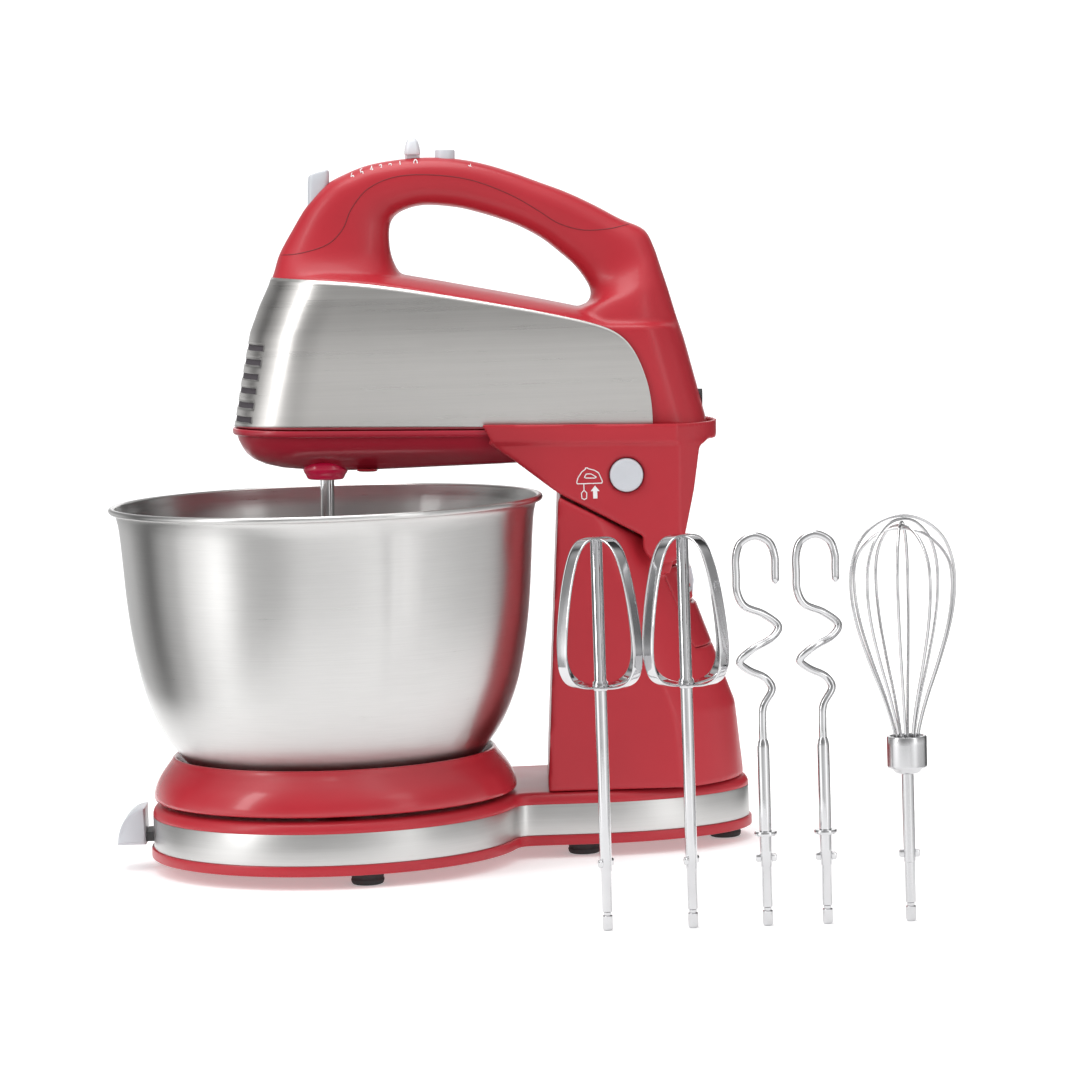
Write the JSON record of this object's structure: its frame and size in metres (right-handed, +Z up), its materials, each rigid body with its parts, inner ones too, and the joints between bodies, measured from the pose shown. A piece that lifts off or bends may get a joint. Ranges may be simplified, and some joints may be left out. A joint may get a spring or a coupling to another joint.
{
  "type": "hand mixer",
  "caption": "Hand mixer on a tilting stand with a turntable bowl, driven beaters, spare beaters, dough hooks and a balloon whisk.",
  "frame": {"origin": "middle of the set's underside, on the surface it stands on", "axes": "+Z up, +X from the bowl towards the column and the mixer's heel, +Y towards the far side, away from the loose tools"},
  "size_m": [0.4182, 0.3776, 0.3733],
  "materials": {
    "red": "glossy ABS",
    "dark_red": "glossy ABS",
    "crimson": "glossy acetal",
    "brushed_steel": "vertically brushed stainless sheet",
    "chrome": "bright plated steel",
    "whisk_cap": "bright plated steel",
    "silver_grey": "satin silver-grey",
    "clear_white": "milky clear",
    "black_rubber": "moulded",
    "screw_steel": "zinc plated",
    "white_nylon": "natural nylon",
    "inner_black": "glass-filled nylon",
    "laminations": "stacked laminations and windings",
    "shaft_steel": "turned steel",
    "copper": "copper bars",
    "bush_bronze": "sintered bronze"
  },
  "bodies": {
    "stand": {"base_shell": "red", "base_band": "brushed_steel", "base_plate": "dark_red", "rubber_feet": "black_rubber", "base_screws": "screw_steel", "column_shell": "red", "column_back_panel": "dark_red", "hinge_pin": "screw_steel", "tilt_lever_pin": "screw_steel"},
    "shift_carriage": {"shift_arm": "inner_black", "shift_knob": "silver_grey", "turntable_pin": "screw_steel"},
    "bowl_turntable": {"turntable": "red", "mixing_bowl": "brushed_steel"},
    "cradle": {"cradle_shell": "red"},
    "tilt_latch": {"tilt_lever": "silver_grey"},
    "release": {"release_button": "silver_grey"},
    "mixer": {"body_housing": "red", "handle_cover": "red", "steel_wrap": "brushed_steel", "lower_tub": "dark_red", "mixer_screws": "screw_steel", "cord_grommet": "black_rubber", "motor_field": "laminations", "brush_holder": "inner_black", "front_bush": "bush_bronze", "rear_bush": "bush_bronze", "gear_frame": "inner_black", "speed_switch": "inner_black"},
    "armature": {"armature_shaft": "shaft_steel", "armature_core": "laminations", "commutator": "copper", "cooling_fan": "white_nylon"},
    "near_spindle": {"near_gear": "white_nylon", "near_socket": "shaft_steel", "near_collar": "crimson"},
    "far_spindle": {"far_gear": "white_nylon", "far_socket": "shaft_steel", "far_collar": "crimson"},
    "near_whip": {"near_beater": "chrome"},
    "far_whip": {"far_beater": "chrome"},
    "eject": {"eject_button": "silver_grey", "eject_yoke": "white_nylon"},
    "speed": {"speed_lever": "clear_white"},
    "burst": {"burst_button": "silver_grey"},
    "tool_beater_left": {"loose_beater_left": "chrome"},
    "tool_beater_right": {"loose_beater_right": "chrome"},
    "tool_hook_left": {"dough_hook_left": "chrome"},
    "tool_hook_right": {"dough_hook_right": "chrome"},
    "tool_whisk": {"whisk_collar": "whisk_cap", "whisk_wires": "chrome"}
  },
  "joints": [
    {"name": "bowl_shift", "type": "slide", "parent": "stand", "child": "shift_carriage", "axis": [0, 1, 0], "range_m": [0, 0.012]},
    {"name": "bowl_spin", "type": "hinge", "parent": "shift_carriage", "child": "bowl_turntable", "pos_m": [-0.09557, 0.07658, 0.036], "axis": [0, 0, 1], "continuous": true},
    {"name": "head_tilt", "type": "hinge", "parent": "stand", "child": "cradle", "pos_m": [0.07842, 0.12058, 0.161], "axis": [0, 1, 0], "range_deg": [0, 45]},
    {"name": "tilt_lever_pull", "type": "hinge", "parent": "stand", "child": "tilt_latch", "pos_m": [0.09093, 0.12058, 0.1335], "axis": [0, 1, 0], "range_deg": [0, 18], "stiffness_Nm_per_rad": 0.3, "springref_deg": -5.73},
    {"name": "release_press", "type": "slide", "parent": "cradle", "child": "release", "axis": [0, 1, 0], "range_m": [0, 0.003], "stiffness_N_per_m": 800, "springref_m": -0.001},
    {"name": "mixer_lift", "type": "slide", "parent": "cradle", "child": "mixer", "axis": [0.0262, 0, 0.9997], "range_m": [0, 0.2]},
    {"name": "armature_spin", "type": "hinge", "parent": "mixer", "child": "armature", "pos_m": [-0.09479, 0.12058, 0.25349], "axis": [0.9997, 0, -0.0262], "continuous": true},
    {"name": "near_drive", "type": "hinge", "parent": "mixer", "child": "near_spindle", "pos_m": [-0.09557, 0.10058, 0.2235], "axis": [0.0262, 0, 0.9997], "continuous": true},
    {"name": "far_drive", "type": "hinge", "parent": "mixer", "child": "far_spindle", "pos_m": [-0.09557, 0.14058, 0.2235], "axis": [0.0262, 0, 0.9997], "continuous": true},
    {"name": "near_beater_drop", "type": "slide", "parent": "near_spindle", "child": "near_whip", "axis": [-0.0262, 0, -0.9997], "range_m": [0, 0.006]},
    {"name": "far_beater_drop", "type": "slide", "parent": "far_spindle", "child": "far_whip", "axis": [-0.0262, 0, -0.9997], "range_m": [0, 0.006]},
    {"name": "eject_press", "type": "slide", "parent": "mixer", "child": "eject", "axis": [-0.0262, 0, -0.9997], "range_m": [0, 0.006], "stiffness_N_per_m": 900, "springref_m": -0.006},
    {"name": "speed_select", "type": "hinge", "parent": "mixer", "child": "speed", "pos_m": [-0.04006, 0.12058, 0.26936], "axis": [0, -1, 0], "range_deg": [0, 19]},
    {"name": "burst_press", "type": "slide", "parent": "mixer", "child": "burst", "axis": [-0.0262, 0, -0.9997], "range_m": [0, 0.0025], "stiffness_N_per_m": 600, "springref_m": -0.001},
    {"name": "beater_left_lift", "type": "slide", "parent": "stand", "child": "tool_beater_left", "axis": [0, 0, 1], "range_m": [0, 0.15]},
    {"name": "beater_right_lift", "type": "slide", "parent": "stand", "child": "tool_beater_right", "axis": [0, 0, 1], "range_m": [0, 0.15]},
    {"name": "hook_left_lift", "type": "slide", "parent": "stand", "child": "tool_hook_left", "axis": [0, 0, 1], "range_m": [0, 0.15]},
    {"name": "hook_right_lift", "type": "slide", "parent": "stand", "child": "tool_hook_right", "axis": [0, 0, 1], "range_m": [0, 0.15]},
    {"name": "whisk_lift", "type": "slide", "parent": "stand", "child": "tool_whisk", "axis": [0, 0, 1], "range_m": [0, 0.15]}
  ],
  "couplings": [
    {"joint": "near_drive", "follows": "armature_spin", "ratio": 0.041667},
    {"joint": "far_drive", "follows": "armature_spin", "ratio": -0.041667},
    {"joint": "near_beater_drop", "follows": "eject_press", "ratio": 1},
    {"joint": "far_beater_drop", "follows": "eject_press", "ratio": 1}
  ]
}
